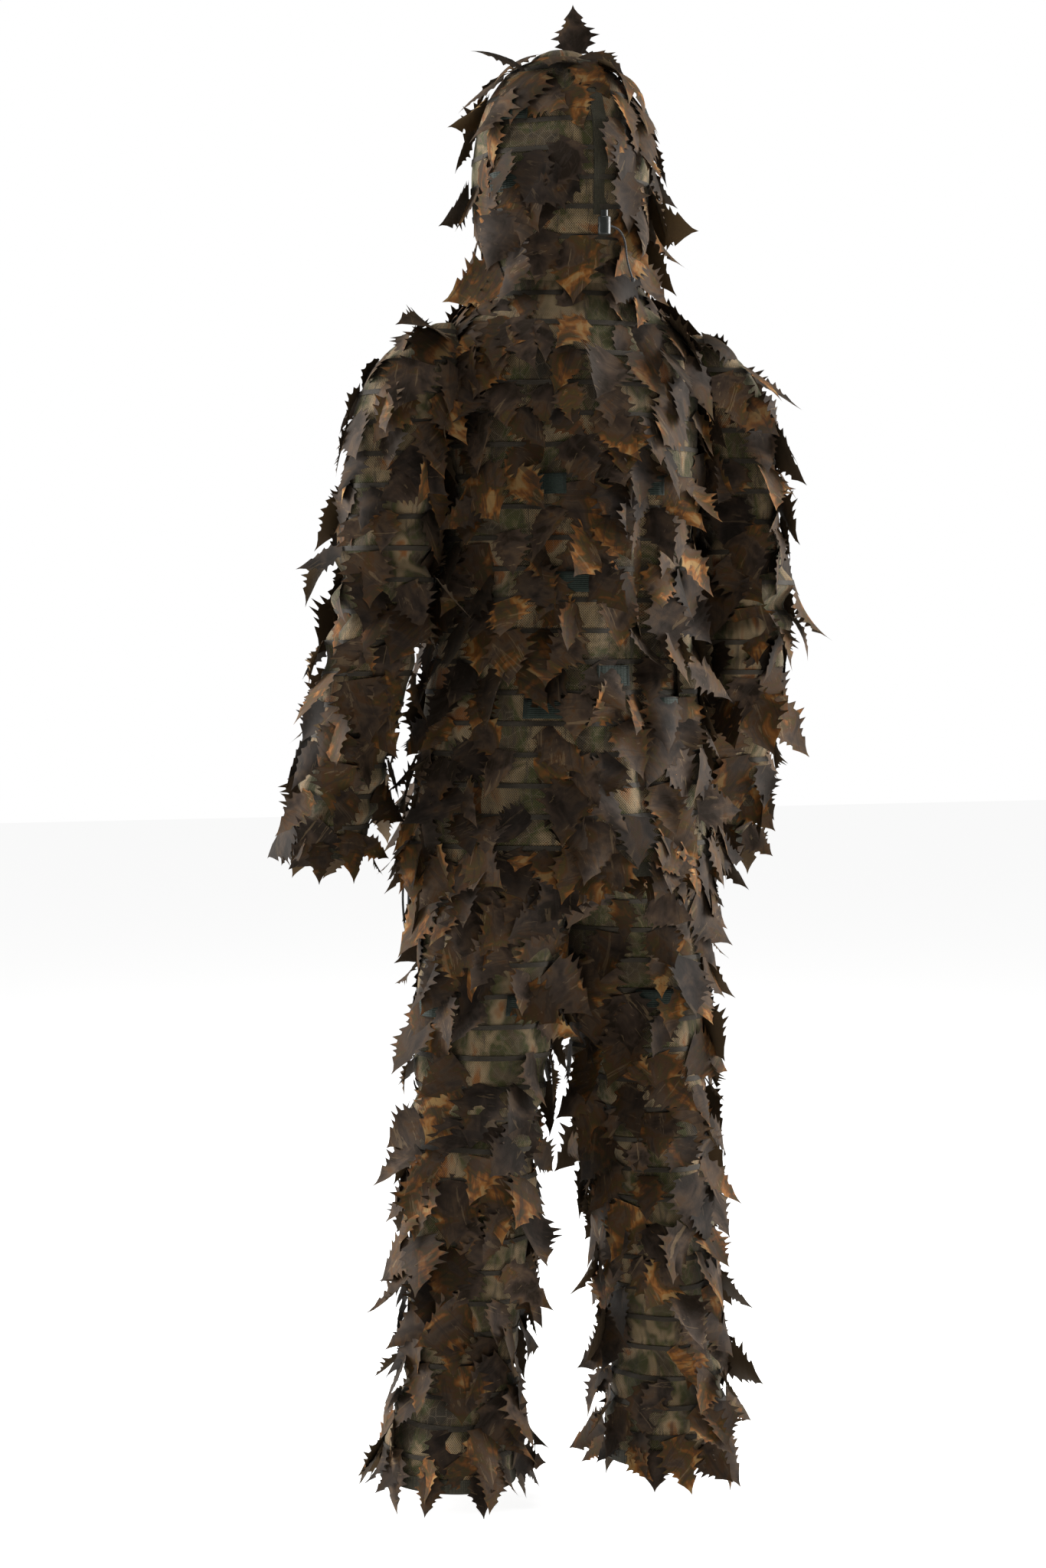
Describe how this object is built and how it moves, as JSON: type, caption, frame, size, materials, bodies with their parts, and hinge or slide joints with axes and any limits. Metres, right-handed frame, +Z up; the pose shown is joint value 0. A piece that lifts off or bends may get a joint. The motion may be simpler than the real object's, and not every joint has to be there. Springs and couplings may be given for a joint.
{
  "type": "ghillie suit",
  "caption": "Hooded leaf camouflage jacket and trousers of see-through mesh, covered in cut cloth leaves, with foliage tabs, front zip and drawcords.",
  "frame": {"origin": "centre of the trousers' waist opening", "axes": "+Z up, the suit faces -Y, the wearer's left is +X"},
  "size_m": [0.6962, 0.3759, 1.8979],
  "materials": {
    "mesh_cloth": "printed open mesh, matt",
    "leaf_cloth": "printed leaf cloth, matt with a faint sheen",
    "webbing": "ribbed dark green webbing",
    "binding": "folded olive tape",
    "elastic": "woven black elastic",
    "zip_tape": "woven tape",
    "zip_plastic": "nylon coil",
    "zip_metal": "painted zinc",
    "lock_plastic": "black moulded plastic",
    "spring_steel": "wire",
    "cord": "braided black elastic cord",
    "eyelet_metal": "dark enamel"
  },
  "bodies": {
    "trousers": {"hip_fold_left": "mesh_cloth", "hip_fold_right": "mesh_cloth", "trousers_seat": "mesh_cloth", "waist_casing": "binding", "waist_elastic": "elastic"},
    "thigh_left": {"knee_fold_left": "mesh_cloth", "thigh_left": "mesh_cloth", "thigh_left_leaves": "leaf_cloth", "thigh_left_tabs": "webbing"},
    "thigh_right": {"knee_fold_right": "mesh_cloth", "thigh_right": "mesh_cloth", "thigh_right_leaves": "leaf_cloth", "thigh_right_tabs": "webbing"},
    "shin_left": {"shin_left": "mesh_cloth", "shin_left_leaves": "leaf_cloth", "trouser_hem_left": "binding"},
    "shin_right": {"shin_right": "mesh_cloth", "shin_right_leaves": "leaf_cloth", "trouser_hem_right": "binding"},
    "jacket": {"back_panel": "mesh_cloth", "front_left": "mesh_cloth", "front_right": "mesh_cloth", "hem_cord": "cord", "hem_eyelets": "eyelet_metal", "jacket_hem": "binding", "jacket_leaves": "leaf_cloth", "jacket_tabs": "webbing", "neck_band": "mesh_cloth", "shoulder_fold_left": "mesh_cloth", "shoulder_fold_right": "mesh_cloth", "yoke_back": "mesh_cloth", "yoke_front": "mesh_cloth", "zip_coils": "zip_plastic", "zip_stops": "zip_plastic", "zip_tapes": "zip_tape"},
    "upper_sleeve_left": {"elbow_fold_left": "mesh_cloth", "upper_sleeve_left": "mesh_cloth", "upper_sleeve_left_leaves": "leaf_cloth"},
    "upper_sleeve_right": {"elbow_fold_right": "mesh_cloth", "upper_sleeve_right": "mesh_cloth", "upper_sleeve_right_leaves": "leaf_cloth"},
    "forearm_left": {"cuff_left": "binding", "forearm_left": "mesh_cloth", "forearm_left_leaves": "leaf_cloth"},
    "forearm_right": {"cuff_right": "binding", "forearm_right": "mesh_cloth", "forearm_right_leaves": "leaf_cloth"},
    "hood": {"cord_channel": "binding", "cord_lock_barrel": "lock_plastic", "cord_lock_spring": "spring_steel", "face_binding": "binding", "hood_cord": "cord", "hood_cord_knot": "cord", "hood_leaves": "leaf_cloth", "hood_left": "mesh_cloth", "hood_right": "mesh_cloth", "hood_tabs": "webbing"},
    "lock_button": {"cord_lock_button": "lock_plastic"},
    "zip_slider": {"zip_slider": "zip_metal"},
    "zip_pull": {"zip_pull": "zip_metal"}
  },
  "joints": [
    {"name": "hip_left", "type": "hinge", "parent": "trousers", "child": "thigh_left", "pos_m": [0.096, 0, -0.13], "axis": [-1, 0, 0], "range_deg": [-10, 30], "deforming": ["hip_fold_left"]},
    {"name": "knee_left", "type": "hinge", "parent": "thigh_left", "child": "shin_left", "pos_m": [0.118, -0.012, -0.55], "axis": [1, 0, 0], "range_deg": [0, 80], "deforming": ["knee_fold_left"]},
    {"name": "hip_right", "type": "hinge", "parent": "trousers", "child": "thigh_right", "pos_m": [-0.096, 0, -0.13], "axis": [-1, 0, 0], "range_deg": [-10, 30], "deforming": ["hip_fold_right"]},
    {"name": "knee_right", "type": "hinge", "parent": "thigh_right", "child": "shin_right", "pos_m": [-0.118, -0.012, -0.55], "axis": [1, 0, 0], "range_deg": [0, 80], "deforming": ["knee_fold_right"]},
    {"name": "jacket_lift", "type": "slide", "parent": "trousers", "child": "jacket", "axis": [0, 0, 1], "range_m": [0, 0.35]},
    {"name": "shoulder_left", "type": "hinge", "parent": "jacket", "child": "upper_sleeve_left", "pos_m": [0.19, 0.01, 0.405], "axis": [0, -1, 0], "range_deg": [0, 60], "deforming": ["shoulder_fold_left"]},
    {"name": "elbow_left", "type": "hinge", "parent": "upper_sleeve_left", "child": "forearm_left", "pos_m": [0.248, 0.012, 0.12], "axis": [-1, 0, 0], "range_deg": [0, 90], "deforming": ["elbow_fold_left"]},
    {"name": "shoulder_right", "type": "hinge", "parent": "jacket", "child": "upper_sleeve_right", "pos_m": [-0.19, 0.01, 0.405], "axis": [0, 1, 0], "range_deg": [0, 60], "deforming": ["shoulder_fold_right"]},
    {"name": "elbow_right", "type": "hinge", "parent": "upper_sleeve_right", "child": "forearm_right", "pos_m": [-0.248, 0.016, 0.12], "axis": [-1, 0, 0], "range_deg": [0, 90], "deforming": ["elbow_fold_right"]},
    {"name": "hood_fold", "type": "hinge", "parent": "jacket", "child": "hood", "pos_m": [0, 0.104, 0.47], "axis": [-1, 0, 0], "range_deg": [0, 85], "deforming": ["neck_band"]},
    {"name": "lock_press", "type": "slide", "parent": "hood", "child": "lock_button", "axis": [0, 0, -1], "range_m": [0, 0.003], "stiffness_N_per_m": 400, "springref_m": -0.001, "deforming": ["cord_lock_spring"]},
    {"name": "zip_slide", "type": "slide", "parent": "jacket", "child": "zip_slider", "axis": [0, -0.1208, -0.9927], "range_m": [0, 0.66]},
    {"name": "pull_flip", "type": "hinge", "parent": "zip_slider", "child": "zip_pull", "pos_m": [0, -0.10356, 0.48333], "axis": [-1, 0, 0], "range_deg": [0, 150]}
  ]
}
